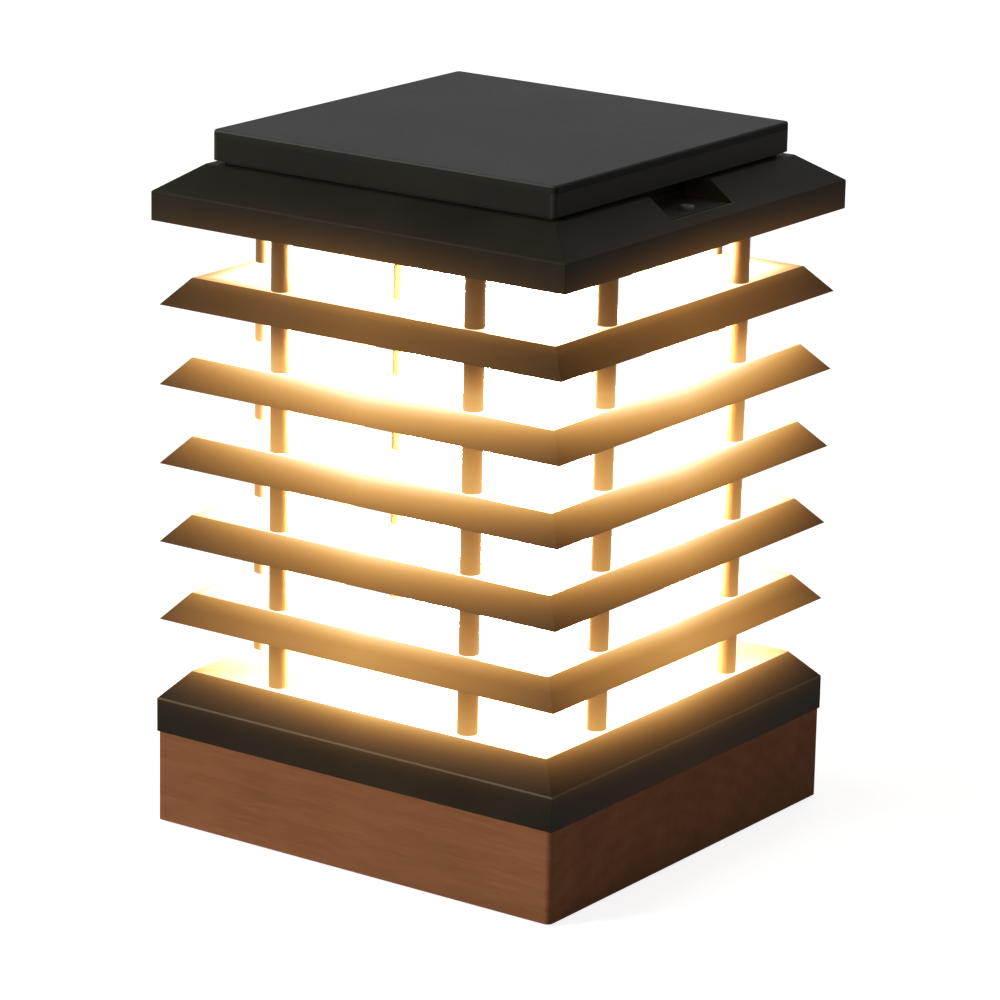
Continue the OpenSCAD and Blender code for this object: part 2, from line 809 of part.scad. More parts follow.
module button_leads() {
    x_board = board_x + board_w / 2 - lead_d;
    x_switch = tab_start + tab_wall + lead_d;
    z_run = z_tab_roof - port_h / 2;
    color("firebrick") for (s = [-1, 1])
        lead([[x_board, s * lead_pitch / 2, z_board],
              [x_board, s * lead_pitch / 2, z_run],
              [x_switch, s * lead_pitch / 2, z_run],
              [x_switch, s * lead_pitch / 2, z_switch]]);
}

rubber_feet();
wood_base();
base_screws();
base_plate();
rod_nuts_lower();
tie_rods();
spacers(0);  // spacers_1
spacers(1);  // spacers_2
spacers(2);  // spacers_3
spacers(3);  // spacers_4
spacers(4);  // spacers_5
spacers(5);  // spacers_6
slat_frame(0);  // slat_frame_1
slat_frame(1);  // slat_frame_2
slat_frame(2);  // slat_frame_3
slat_frame(3);  // slat_frame_4
slat_frame(4);  // slat_frame_5
ceiling_plate();
rod_nuts_upper();
roof_frame();
roof_screws();
roof_gasket();
diffuser_tube();
tube_rings();
module_housing();
panel_cover();
solar_panel();
solar_cells();
module_floor();
floor_screws();
battery_holder();
battery_cells();
battery_contacts();
control_board();
board_parts();
light_board();
light_leds();
light_lens();
switch_cover();
switch_cover_screws();
switch_board();
switch_plunger();
button_spring();
power_button();
panel_leads();
battery_leads();
light_leads();
button_leads();
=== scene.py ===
"""The looks of a solar table lamp: a wood block, a hipped base plate, five levels of slats on posts
round an opal tube of light, a hipped roof and a solar module that lifts out of it."""

import json
from math import cos, pi, radians, sin

import bmesh
import bpy
import numpy as np
from mathutils import Matrix, Vector


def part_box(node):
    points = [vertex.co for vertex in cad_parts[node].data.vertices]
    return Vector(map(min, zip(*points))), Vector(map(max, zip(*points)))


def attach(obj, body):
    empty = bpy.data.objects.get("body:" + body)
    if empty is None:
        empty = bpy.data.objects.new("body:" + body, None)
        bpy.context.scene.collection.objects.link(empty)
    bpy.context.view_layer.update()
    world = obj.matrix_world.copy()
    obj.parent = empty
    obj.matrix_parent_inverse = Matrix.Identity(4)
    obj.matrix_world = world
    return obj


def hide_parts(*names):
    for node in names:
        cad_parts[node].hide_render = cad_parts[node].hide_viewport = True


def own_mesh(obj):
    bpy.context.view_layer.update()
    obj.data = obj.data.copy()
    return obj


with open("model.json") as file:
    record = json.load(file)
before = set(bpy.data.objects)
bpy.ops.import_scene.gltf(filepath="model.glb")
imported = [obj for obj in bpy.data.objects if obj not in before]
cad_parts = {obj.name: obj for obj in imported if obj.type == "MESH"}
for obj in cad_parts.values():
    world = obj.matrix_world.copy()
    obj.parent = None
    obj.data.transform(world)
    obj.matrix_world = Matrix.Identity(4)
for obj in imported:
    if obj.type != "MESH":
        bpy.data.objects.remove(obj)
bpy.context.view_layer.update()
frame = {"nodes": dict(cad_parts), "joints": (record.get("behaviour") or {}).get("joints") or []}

# Camera: the photograph's angle
# It stands in front of the lamp's corner between -Y and +X, a little above it, about ten lamp
# widths away, and is turned about one degree. Its place is given in half widths of the block.
half_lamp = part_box("wood_base")[1].x
azimuth, elevation, camera_roll = radians(35.19), radians(15.89), radians(1.148)
back = Vector((sin(azimuth) * cos(elevation), -cos(azimuth) * cos(elevation), sin(elevation)))
right = Vector((cos(azimuth), sin(azimuth), 0))
up = back.cross(right)
eye = (Vector((0, 0, 1.513)) + back * 19.437 + right * 0.014 - up * 0.150) * half_lamp
camera = bpy.data.objects.new("camera", bpy.data.cameras.new("camera"))
camera.data.lens = 168.8
camera.data.sensor_width = 36
camera.data.clip_end = 50
camera.matrix_world = (
    Matrix.Translation(eye)
    @ Matrix((right, up, back)).transposed().to_4x4()
    @ Matrix.Rotation(camera_roll, 4, "Z")
)
bpy.context.scene.collection.objects.link(camera)
bpy.context.scene.camera = camera

# Light: a plain studio
# One large soft lamp stands left of the camera, another hangs behind the lamp, and a dim world
# fills the shadows. To the camera, and to gloss and clear bodies, the world is white.
bpy.context.scene.view_settings.view_transform = "Standard"


def soft_lamp(name, place, target, width, watts):
    """A square area lamp at a place, turned to look at a target."""
    lamp = bpy.data.objects.new(name, bpy.data.lights.new(name, "AREA"))
    lamp.data.size = width
    lamp.data.energy = watts
    lamp.location = place
    lamp.rotation_euler = (Vector(target) - Vector(place)).to_track_quat("-Z", "Y").to_euler()
    bpy.context.scene.collection.objects.link(lamp)


soft_lamp("key_lamp", (-1.1, -1.5, 1.0), (0, 0, 0.12), 0.9, 41)
soft_lamp("back_lamp", (-0.3, 1.5, 1.4), (0, 0, 0.15), 1.0, 5)


class Wire:
    """One output of a shader's nodes. Sums, products and powers with numbers or other wires add
    Math nodes, and node() adds any other node."""

    def __init__(self, tree, socket=None):
        self.tree, self.socket = tree, socket

    def node(self, kind, settings=None, inputs=None, output=0):
        """Adds a node of a kind: its settings first, with a ramp's stops as (place, colour) pairs
        in their order, and then its inputs, by name or number, as values or wires. Gives one
        output as a wire."""
        node = self.tree.nodes.new(kind)
        for name, value in (settings or {}).items():
            if name == "stops":
                stops = node.color_ramp.elements
                for _ in value[2:]:
                    stops.new(1)
                for stop, (place, colour) in zip(stops, value):
                    stop.position, stop.color = place, (*colour, 1)
            else:
                setattr(node, name, value)
        for name, value in (inputs or {}).items():
            if isinstance(value, Wire):
                self.tree.links.new(value.socket, node.inputs[name])
            else:
                node.inputs[name].default_value = value
        return Wire(self.tree, node.outputs[output] if len(node.outputs) else None)

    def maths(self, operation, a, b):
        return self.node("ShaderNodeMath", {"operation": operation}, {0: a, 1: b})

    def __add__(self, other):
        return self.maths("ADD", self, other)

    __radd__ = __add__

    def __sub__(self, other):
        return self.maths("SUBTRACT", self, other)

    def __rsub__(self, other):
        return self.maths("SUBTRACT", other, self)

    def __mul__(self, other):
        return self.maths("MULTIPLY", self, other)

    __rmul__ = __mul__

    def __pow__(self, other):
        return self.maths("POWER", self, other)


def seen(wire):
    """1 for what the camera, a gloss or a clear body sees, and 0 for light that falls on things."""
    rays = [
        wire.node("ShaderNodeLightPath", output=name)
        for name in ("Is Camera Ray", "Is Glossy Ray", "Is Transmission Ray")
    ]
    return wire.maths("MINIMUM", rays[0] + rays[1] + rays[2], 1)


world = bpy.data.worlds.new("studio")
world.use_nodes = True
world.node_tree.nodes.clear()
sky = Wire(world.node_tree)
dim = sky.node("ShaderNodeBackground", inputs={"Color": (1, 1, 1, 1), "Strength": 0.1})
white = sky.node("ShaderNodeBackground", inputs={"Color": (1, 1, 1, 1), "Strength": 1})
shown = sky.node("ShaderNodeMixShader", inputs={0: seen(sky), 1: dim, 2: white})
sky.node("ShaderNodeOutputWorld", inputs={"Surface": shown})
bpy.context.scene.world = world


def finish(name, colour, roughness, metallic=0.0, **sockets):
    """A material with its constants on the shader's own sockets, named with _ for a space. Gives
    the material, a wire to draw its pattern with, and its shader."""
    made = bpy.data.materials.new(name)
    made.use_nodes = True
    shader = made.node_tree.nodes["Principled BSDF"]
    shader.inputs["Base Color"].default_value = (*colour, 1)
    shader.inputs["Roughness"].default_value = roughness
    shader.inputs["Metallic"].default_value = metallic
    for socket, value in sockets.items():
        shader.inputs[socket.replace("_", " ")].default_value = value
    return made, Wire(made.node_tree), shader


def feed(shader, **wires):
    """Links wires to a shader's sockets, named with _ for a space."""
    for socket, wire in wires.items():
        wire.tree.links.new(wire.socket, shader.inputs[socket.replace("_", " ")])


def over(draw, mask, under, colour):
    """One colour over another where a mask is 1. Each is a wire or three numbers."""
    layers = [c if isinstance(c, Wire) else (*c, 1) for c in (under, colour)]
    return draw.node(
        "ShaderNodeMix", {"data_type": "RGBA"}, {0: mask, 6: layers[0], 7: layers[1]}, output=2
    )


paper, draw, shader = finish(
    "paper", (0.5, 0.5, 0.5), 0.9, Specular_IOR_Level=0.1, Emission_Strength=0.86
)
feed(shader, Emission_Color=over(draw, seen(draw), (0, 0, 0), (1, 1, 1)))
floor_half = 4
corners4 = np.array([(-1, -1), (1, -1), (1, 1), (-1, 1)])
floor_mesh = bpy.data.meshes.new("floor")
floor_mesh.from_pydata([(x, y, 0) for x, y in (floor_half * corners4).tolist()], [], [(0, 1, 2, 3)])
floor_mesh.materials.append(paper)
floor = bpy.data.objects.new("floor", floor_mesh)
bpy.context.scene.collection.objects.link(floor)

# Feet: four round rubber pads
# Moulded soft rubber, glued into pockets in the underside of the wood and standing 1 mm out of it.
# Each has a small round edge where it meets the table.


def piece(name, points, faces, material, body, nodes, sharp=30, bevel=0):
    """A closed mesh from arrays of points and faces: doubles and poles are welded, faces turned
    outwards, its corners cut round by a bevel's width, and edges under the sharp angle shaded
    smooth, with the large faces kept flat. It rides on a body, takes a material and stands for
    CAD nodes."""
    shape = bmesh.new()
    draft = bpy.data.meshes.new(name)
    draft.from_pydata(np.asarray(points, float).reshape(-1, 3), [], [list(f) for f in faces])
    shape.from_mesh(draft)
    bmesh.ops.remove_doubles(shape, verts=shape.verts, dist=1e-6)
    bmesh.ops.dissolve_degenerate(shape, edges=shape.edges, dist=1e-6)
    bmesh.ops.recalc_face_normals(shape, faces=shape.faces)
    shape.to_mesh(draft)
    shape.free()
    draft.polygons.foreach_set("use_smooth", np.ones(len(draft.polygons), bool))
    draft.set_sharp_from_angle(angle=radians(sharp))
    draft.materials.append(material)
    made = bpy.data.objects.new(name, draft)
    bpy.context.scene.collection.objects.link(made)
    if bevel:
        corners = made.modifiers.new("round_edges", "BEVEL")
        corners.width = bevel
        corners.segments = 3
        corners.limit_method = "ANGLE"
        corners.angle_limit = radians(35)
    made.modifiers.new("flat_faces", "WEIGHTED_NORMAL").keep_sharp = True
    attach(made, body)
    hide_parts(*nodes)
    return made


def rounded(corners, radii, steps=5):
    """A closed outline with its corners rounded. With a and b the unit vectors from a corner to its
    neighbours and t the angle between them, the arc's centre lies along a + b, radius / sin(t / 2)
    from the corner, and the arc turns through pi - t between its two tangent points."""
    corners = np.asarray(corners, float)
    radii = np.asarray(radii, float)[:, None]
    a = np.roll(corners, 1, 0) - corners
    b = np.roll(corners, -1, 0) - corners
    a /= np.linalg.norm(a, axis=1, keepdims=True)
    b /= np.linalg.norm(b, axis=1, keepdims=True)
    t = np.arccos(np.clip((a * b).sum(1, keepdims=True), -1, 1))
    middle = (a + b) / np.linalg.norm(a + b, axis=1, keepdims=True)
    centre = corners + middle * radii / np.sin(t / 2)
    start = corners + a * radii / np.tan(t / 2) - centre
    end = corners + b * radii / np.tan(t / 2) - centre
    turn = (pi - t)[:, None, :]
    w = np.linspace(0, 1, steps)[None, :, None]
    arc = (np.sin((1 - w) * turn) * start[:, None] + np.sin(w * turn) * end[:, None]) / np.sin(turn)
    return (centre[:, None] + arc).reshape(-1, 2)


def quads(rows, columns, bodies=1):
    """The faces of grids of rows by columns points, closed in both directions, for a number of
    bodies whose points follow each other."""
    i, j = np.meshgrid(np.arange(rows), np.arange(columns), indexing="ij")
    k, m = (i + 1) % rows, (j + 1) % columns
    one = np.stack([i * columns + j, i * columns + m, k * columns + m, k * columns + j], -1)
    steps = np.arange(bodies)[:, None, None] * rows * columns
    return (one.reshape(1, -1, 4) + steps).reshape(-1, 4)


def turned(outline, centres, sides=48):
    """Points of a closed outline of (radius, height) turned about upright axes: a point at angle t
    is the axis plus (radius cos t, radius sin t), at its height. An outline that touches the axis
    closes there in a pole."""
    t = np.linspace(0, 2 * pi, sides, endpoint=False)
    outline = np.asarray(outline, float)
    x = outline[:, :1] * np.cos(t)
    y = outline[:, :1] * np.sin(t)
    z = np.repeat(outline[:, 1:], sides, 1)
    one = np.stack([x, y, z], -1)
    shift = np.pad(np.asarray(centres, float), ((0, 0), (0, 1)))[:, None, None, :]
    return one[None] + shift, quads(len(outline), sides, len(centres))


def noise(draw, place, scale, detail):
    """A cloud of noise between 0 and 1 at a place, in so many specks to the metre."""
    sockets = {"Vector": place, "Scale": scale, "Detail": detail}
    return draw.node("ShaderNodeTexNoise", inputs=sockets)


def bump(draw, height, strength, depth):
    """A fine grain in the surface, from a height between 0 and 1, a strength and a depth."""
    sockets = {"Strength": strength, "Distance": depth, "Height": height}
    return draw.node("ShaderNodeBump", inputs=sockets)


rubber, draw, shader = finish("rubber", (0.02, 0.02, 0.02), 0.75)
place = draw.node("ShaderNodeTexCoord", output="Object")
specks = noise(draw, place, 900, 3)
feed(shader, Normal=bump(draw, specks, 0.15, 0.0001), Roughness=0.65 + 0.2 * specks)

foot_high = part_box("rubber_feet")[1]
foot_r = 0.010
foot_at = foot_high.x - foot_r
foot_outline = rounded(
    [(0, 0), (foot_r, 0), (foot_r, foot_high.z), (0, foot_high.z)], (0, 0.0005, 0.0002, 0)
)
points, faces = turned(foot_outline, corners4 * foot_at)
piece("feet", points, faces, rubber, "lantern", ["rubber_feet"])

# Wood block
# A solid block of oiled hardwood, sawn with its grain along X, with round upright edges. Its edges
# are sanded to a small radius, and pockets for feet and screws are bored into its underside.


def rounded_copy(node, name, width, material, body, sharp=20):
    """A copy of a CAD solid with its triangles welded and joined to flat faces again, and its
    edges rounded by a width."""
    source = frame["nodes"][node].data
    shape = bmesh.new()
    shape.from_mesh(source)
    bmesh.ops.remove_doubles(shape, verts=shape.verts, dist=1e-6)
    bmesh.ops.dissolve_limit(shape, angle_limit=radians(0.5), verts=shape.verts, edges=shape.edges)
    shape.verts.index_update()
    points = [tuple(v.co) for v in shape.verts]
    faces = [[v.index for v in f.verts] for f in shape.faces]
    shape.free()
    return piece(name, points, faces, material, body, [node], sharp, width)


def ramp(value, *stops):
    """A colour that runs with a value through stops of (value, colour)."""
    return value.node("ShaderNodeValToRGB", {"stops": stops}, {0: value})


teak, draw, shader = finish("oiled_teak", (0.22, 0.093, 0.042), 0.55, Specular_IOR_Level=0.03)
place = draw.node("ShaderNodeTexCoord", output="Object")
drift_at = draw.node("ShaderNodeMapping", inputs={"Vector": place, "Scale": (5, 60, 60)})
drift = noise(draw, drift_at, 1, 4)
fibre_at = draw.node("ShaderNodeMapping", inputs={"Vector": place, "Scale": (50, 1100, 1100)})
fibres = noise(draw, fibre_at, 1, 3)
ring_at = draw.node(
    "ShaderNodeMapping", inputs={"Vector": place, "Location": (0, 0.03, 0.09), "Scale": (0.12, 1, 1)}
)
rings = draw.node(
    "ShaderNodeTexWave",
    {"wave_type": "RINGS", "rings_direction": "X"},
    {"Vector": ring_at, "Scale": 42, "Distortion": 5, "Detail": 2, "Detail Scale": 14},
)
tone = 0.5 * drift + 0.17 * fibres + 0.08 * rings + 0.25 * noise(draw, place, 35, 5)
colour = ramp(
    tone,
    (0.3, (0.18, 0.069, 0.028)),
    (0.5, (0.234, 0.094, 0.04)),
    (0.7, (0.288, 0.121, 0.053)),
)
grain = bump(draw, tone, 0.2, 0.0002)
feed(shader, Base_Color=colour, Roughness=0.45 + 0.25 * fibres, Normal=grain)
rounded_copy("wood_base", "wood_block", 0.0005, teak, "lantern")

steel, draw, shader = finish("steel", (0.55, 0.55, 0.55), 0.35, 1.0)
place = draw.node("ShaderNodeTexCoord", output="Object")
brush_at = draw.node("ShaderNodeMapping", inputs={"Vector": place, "Scale": (900, 900, 60)})
feed(shader, Roughness=0.25 + 0.3 * noise(draw, brush_at, 1, 2))


def coat_node(node, material):
    """Gives a CAD node that keeps its own mesh a material."""
    mesh = frame["nodes"][node].data
    mesh.materials.clear()
    mesh.materials.append(material)


coat_node("base_screws", steel)

# Base plate
# Pressed aluminium with an upright edge, a slope and a closed top, powder coated nearly black. It
# is held by screws from under the wood, and its seats and its collar carry the posts and the tube.


def powder_coat(name, bend, bend_highlight_colour):
    made, draw, shader = finish(name, (0.013, 0.0115, 0.0075), 0.6, Specular_IOR_Level=0.04)
    place = draw.node("ShaderNodeTexCoord", output="Object")
    pebble = noise(draw, place, 2600, 2)
    cloud = noise(draw, place, 30, 4)
    colour = ramp(cloud, (0.3, (0.01, 0.0085, 0.0054)), (0.7, (0.0165, 0.0142, 0.0096)))
    height = draw.node("ShaderNodeSeparateXYZ", inputs={0: place}, output="Z")
    # A thin line along the bend is coloured lighter: a painted highlight where the edge catches the
    # light.
    from_bend = draw.maths("ABSOLUTE", height - bend, 0)
    painted_bend_highlight = draw.maths("LESS_THAN", from_bend, 0.0002 + 0.0003 * cloud)
    colour = over(draw, painted_bend_highlight, colour, bend_highlight_colour)
    grain = bump(draw, pebble, 0.3, 0.00008)
    feed(shader, Base_Color=colour, Roughness=0.5 + 0.15 * cloud, Normal=grain)
    return made, draw, shader, place, colour


def side_places(draw, place):
    """Where a point lies on a lamp with four like sides: how far out from the axis, which is the
    larger of |x| and |y|, how far along from the side's middle, which is the smaller, and how
    high."""
    x, y, height = (draw.node("ShaderNodeSeparateXYZ", inputs={0: place}, output=n) for n in "XYZ")
    x, y = draw.maths("ABSOLUTE", x, 0), draw.maths("ABSOLUTE", y, 0)
    return draw.maths("MAXIMUM", x, y), draw.maths("MINIMUM", x, y), height


def towards_ends(along, fall):
    """How much of the tube's light reaches along a side: 1 in the middle, falling by a share of
    the 1.2th power of the way to the corner."""
    return 1 - fall * (along * (1 / half_side)) ** 1.2


def spill(draw, shader, brightness, brightest=3.2):
    """The tube's light on a dark coat, as emission: deep gold where it is weak, and pale where it
    is strong."""
    warm = ramp(
        brightness * (1 / brightest),
        (0.0, (0.0, 0.0, 0.0)),
        (0.05, (0.0475, 0.02, 0.005)),
        (0.125, (0.125, 0.0565, 0.013)),
        (0.235, (0.235, 0.1225, 0.0345)),
        (0.33, (0.33, 0.2, 0.08)),
        (0.5, (0.5, 0.375, 0.225)),
        (1.0, (1.0, 0.9, 0.75)),
    )
    shader.inputs["Emission Strength"].default_value = brightest
    feed(shader, Emission_Color=warm)


plate_low, plate_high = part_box("base_plate")
plate_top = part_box("tube_rings")[0].z
half_side = plate_high.x
slope_rise = 0.0106
top_skin = 0.0002
edge_bevel = 0.0003
plate_bend = plate_top - slope_rise
# The colour of the painted highlight along the plate's bend.
plate_bend_highlight = (0.09, 0.075, 0.05)
plate_coat, draw, shader, place = powder_coat("plate_coat", plate_bend, plate_bend_highlight)[:4]
along, height = side_places(draw, place)[1:]
up_the_plate = (height - plate_low.z) * (1 / (plate_top - plate_low.z))
on_top = draw.maths("GREATER_THAN", height, plate_top - top_skin)
up_the_slope = 0.015 + 0.62 * up_the_plate ** 4 + 0.48 * up_the_plate ** 12
spill(draw, shader, towards_ends(along, 0.8) * (up_the_slope + 2 * on_top))
rounded_copy("base_plate", "base_plate_coated", edge_bevel, plate_coat, "lantern")
coat_node("rod_nuts_lower", steel)
coat_node("tie_rods", steel)

# Posts
# Eight posts, two on each side, each a stack of bronze coated aluminium tubes on a steel rod. Every
# tube has broken edges, and the slats are clamped between the tubes.


def up_the_tube(height):
    """How much of the tube's light spills out at a height, as shares at places between the plate's
    top and the posts' upper ends: most under the top slat, and little above it, in the roof's
    shade."""
    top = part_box("spacers_6")[1].z
    shares = [
        (0.0, 0.8),
        (0.1, 0.8),
        (0.12, 1.2),
        (0.138, 0.87),
        (0.15, 0.69),
        (0.32, 0.64),
        (0.62, 1.0),
        (0.74, 1.0),
        (0.8, 0.45),
        (0.824, 0.42),
        (0.842, 0.28),
        (0.865, 0.2),
        (0.9, 0.24),
        (1.0, 0.24),
    ]
    up_the_gap = (height - plate_top) * (1 / (top - plate_top))
    return ramp(up_the_gap, *((place, (share, share, share)) for place, share in shares))


bronze, draw, shader = finish("bronze_coat", (0.05, 0.028, 0.013), 0.45, Specular_IOR_Level=0.1)
place = draw.node("ShaderNodeTexCoord", output="Object")
cloud = noise(draw, place, 60, 4)
colour = ramp(cloud, (0.3, (0.042, 0.022, 0.01)), (0.7, (0.06, 0.033, 0.016)))
feed(shader, Base_Color=colour, Roughness=0.35 + 0.2 * cloud)
out, _, height = side_places(draw, place)
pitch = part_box("spacers_2")[0].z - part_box("spacers_1")[0].z
in_gap = draw.maths("FRACT", (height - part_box("spacers_1")[0].z) * (1 / pitch), 0)

post_r = 0.004
bore_r = 0.0022
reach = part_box("spacers_1")[1].y - post_r
span = 0.044
inwards = draw.maths("MAXIMUM", (reach - out) * (1 / post_r), 0)
spill(draw, shader, up_the_tube(height) * (0.85 - 0.8 * in_gap) + 4 * inwards ** 2)
quarter_turns = [(1, 0), (0, 1), (-1, 0), (0, -1)]
post_places = np.array(
    [(s * c + reach * d, s * d - reach * c) for s in (-span, span) for c, d in quarter_turns]
)
for level in range(1, 7):
    low, high = (corner.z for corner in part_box(f"spacers_{level}"))
    outline = rounded(
        [(bore_r, low), (post_r, low), (post_r, high), (bore_r, high)], (0, 0.0003, 0.0003, 0)
    )
    points, faces = turned(outline, post_places, sides=40)
    piece(f"posts_{level}", points, faces, bronze, "lantern", [f"spacers_{level}"])

# Slats
# Four bars a level, mitred at the corners, with a bevelled outer side that sheds rain. They are
# coated in a dark bronze brown with a fine grain, and every bar sits on two posts.


def mitred_bars(section, lap):
    """Points of four bars round a square. A bar's section of (distance from the axis, height) is
    carried along its side from u = -1 to 1, at u * (distance + lap), so that its ends pass the
    mitre planes by a hair and no light shows between them. The bars are the first one turned by
    quarter turns."""
    away, height = np.asarray(section, float).T
    u = np.array([-1.0, 1.0])[:, None]
    one = np.stack([u * (away + lap), -away + 0 * u, height + 0 * u], -1)
    x, y, z = np.moveaxis(one, -1, 0)
    bars = [np.stack([c * x - s * y, s * x + c * y, z], -1) for c, s in quarter_turns]
    n = len(away)
    ring = np.arange(n)
    sides = np.stack([ring, (ring + 1) % n, (ring + 1) % n + n, ring + n], -1)
    faces = []
    for bar in range(4):
        faces += (sides + 2 * n * bar).tolist()
        faces += [(ring + 2 * n * bar).tolist(), (ring + n + 2 * n * bar).tolist()]
    return np.array(bars), faces


umber, draw, shader = finish("umber_coat", (0.02, 0.015, 0.009), 0.45, Specular_IOR_Level=0.02)
place = draw.node("ShaderNodeTexCoord", output="Object")
cloud = noise(draw, place, 55, 5)
colour = ramp(cloud, (0.3, (0.016, 0.012, 0.007)), (0.7, (0.025, 0.019, 0.012)))
grain = bump(draw, noise(draw, place, 700, 2), 0.2, 0.0001)
feed(shader, Base_Color=colour, Roughness=0.38 + 0.2 * cloud, Normal=grain)

slat_depth = 0.0279
slat_bevel = 0.0088
mitre_lap = 0.00001
out, along, height = side_places(draw, place)
up_the_bevel = (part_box("slat_frame_1")[1].x - out) * (1 / slat_bevel)
across = 0.45 + 0.75 * up_the_bevel + 0.9 * up_the_bevel ** 4
past_bevel = 1.02
on_top = draw.maths("GREATER_THAN", up_the_bevel, past_bevel)
on_bevel = up_the_tube(height) * across
spill(draw, shader, towards_ends(along, 0.76) * (on_bevel + 1.6 * on_top))
for level in range(1, 6):
    low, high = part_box(f"slat_frame_{level}")
    outer = high.x
    section = rounded(
        [
            (outer, low.z),
            (outer - slat_bevel, high.z),
            (outer - slat_depth, high.z),
            (outer - slat_depth, low.z),
        ],
        (0.00015, 0.0009, 0.0005, 0.0005),
    )
    points, faces = mitred_bars(section, mitre_lap)
    piece(
        f"slats_{level}", points, faces, umber, "lantern", [f"slat_frame_{level}"]
    )

# Ceiling plate and roof
# The ceiling plate lies on the posts and carries the roof, a folded aluminium hood with an upright
# fascia and a well for the solar module. Both are powder coated as the base plate is.
fascia_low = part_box("roof_frame")[0].z
fascia_h = 0.0111
roof_bend = fascia_low + fascia_h
# The roof coat carries the same painted highlight along the roof's bend, in a dimmer colour.
roof_coat, draw, shader, place, colour = powder_coat("roof_coat", roof_bend, (0.02, 0.018, 0.013))
along, height = side_places(draw, place)[1:]
notch_inner = 0.065
notch_half = 0.0203
notch_sill = 0.0025
# Painted light: the surfaces deep in the finger notch are coloured lighter, lifting the shade under
# the cap.
painted_light_in_notch = (
    draw.maths("GREATER_THAN", draw.node("ShaderNodeSeparateXYZ", inputs={0: place}), notch_inner)
    * draw.maths("LESS_THAN", along, notch_half)
    * draw.maths("GREATER_THAN", height, roof_bend + notch_sill)
)
feed(shader, Base_Color=over(draw, painted_light_in_notch, colour, (0.08, 0.065, 0.045)))
up_the_roof = (height - fascia_low) * (1 / (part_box("roof_frame")[1].z - fascia_low))
spill(draw, shader, 0.1 * (1 - up_the_roof) ** 3 * towards_ends(along, 0.75))
rounded_copy(
    "ceiling_plate", "ceiling_plate_coated", edge_bevel, roof_coat, "lantern"
)
coat_node("rod_nuts_upper", steel)
rounded_copy("roof_frame", "roof_coated", edge_bevel, roof_coat, "lantern")
coat_node("roof_screws", steel)
coat_node("roof_gasket", rubber)

# Opal tube
# An extruded tube of warm opal acrylic with broken rims. It stands in the base plate's collar and
# spreads the light that shines into its upper end; a rubber ring lies at each end.
opal_white = (0.9, 0.82, 0.66)
opal, draw, shader = finish("opal", opal_white, 0.4, Emission_Strength=800)
place = draw.node("ShaderNodeTexCoord", output="Object")
height = draw.node("ShaderNodeSeparateXYZ", inputs={0: place}, output="Z")
tube_low, tube_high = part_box("diffuser_tube")
up = (height - tube_low.z) * (1 / (tube_high.z - tube_low.z))
feed(shader, Emission_Color=ramp(up, (0.0, (0.95, 0.58, 0.24)), (1.0, (1.0, 0.64, 0.28))))

tube_r = tube_high.x
tube_wall = 0.0025
broken = 0.0005
outline = rounded(
    [
        (tube_r - tube_wall, tube_low.z),
        (tube_r, tube_low.z),
        (tube_r, tube_high.z),
        (tube_r - tube_wall, tube_high.z),
    ],
    (broken, broken, broken, broken),
)
points, faces = turned(outline, [(0, 0)], sides=128)
tube = piece("opal_tube", points, faces, opal, "lantern", ["diffuser_tube"])
unlit = bpy.data.collections.new("not_lit_by_the_tube")
unlit.objects.link(floor)
unlit.collection_objects[0].light_linking.link_state = "EXCLUDE"
tube.light_linking.receiver_collection = unlit
coat_node("tube_rings", rubber)

# Solar module: housing
# A moulded black housing: a flat cap that lies on the roof's gasket, a body that hangs in the well
# and a tab that fills the finger notch's floor. It lifts straight out of the roof.
moulded, draw, shader = finish("moulded_black", (0.013, 0.0118, 0.008), 0.5, Specular_IOR_Level=0.04)
place = draw.node("ShaderNodeTexCoord", output="Object")
cloud = noise(draw, place, 25, 4)
colour = ramp(cloud, (0.3, (0.01, 0.009, 0.006)), (0.7, (0.0155, 0.014, 0.01)))
cap_h = 0.0155
cap_corner = 0.0022
along, height = side_places(draw, place)[1:]
# Painted light: the cap's rounded upright corners are coloured lighter as a painted highlight, and
# everything below the cap, in its shade within the finger notch, is coloured lighter as painted
# light.
painted_corner_highlight = draw.maths("GREATER_THAN", along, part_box("panel_cover")[1].x - cap_corner)
painted_light_under_cap = draw.maths("LESS_THAN", height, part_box("module_housing")[1].z - cap_h)
colour = over(draw, painted_corner_highlight, colour, (0.03, 0.027, 0.02))
colour = over(draw, painted_light_under_cap, colour, (0.05, 0.043, 0.032))
grain = bump(draw, noise(draw, place, 1800, 2), 0.25, 0.00008)
feed(shader, Base_Color=colour, Roughness=0.42 + 0.15 * cloud, Normal=grain)
rounded_copy("module_housing", "housing_moulded", 0.0006, moulded, "solar_module")

# Solar module: cover and panel
# A smoked sheet of satin acrylic lies flush in the cap's rim with a rounded upper edge. Under it
# are a dark panel board and its strips of silicon.


def carried_round_square(outline, half, radius, steps=8):
    """Points of a closed outline of (inset, height) carried round a square with soft corners: at
    inset d the square's half width is half - d and its corner radius is radius - d, or nothing
    where d is larger. An outline point whose inset is half closes in the middle."""
    inset, height = np.asarray(outline, float).T[:, :, None]
    t = np.linspace(0, pi / 2, steps)
    angle = np.concatenate([t + k * pi / 2 for k in range(4)])[None]
    sx = np.sign(np.cos(angle.reshape(4, -1)[:, steps // 2])).repeat(steps)[None]
    sy = np.sign(np.sin(angle.reshape(4, -1)[:, steps // 2])).repeat(steps)[None]
    r = np.maximum(radius - inset, 0)
    x = sx * (half - inset - r) + r * np.cos(angle)
    y = sy * (half - inset - r) + r * np.sin(angle)
    return np.stack([x, y, height + 0 * x], -1), quads(len(outline), 4 * steps)


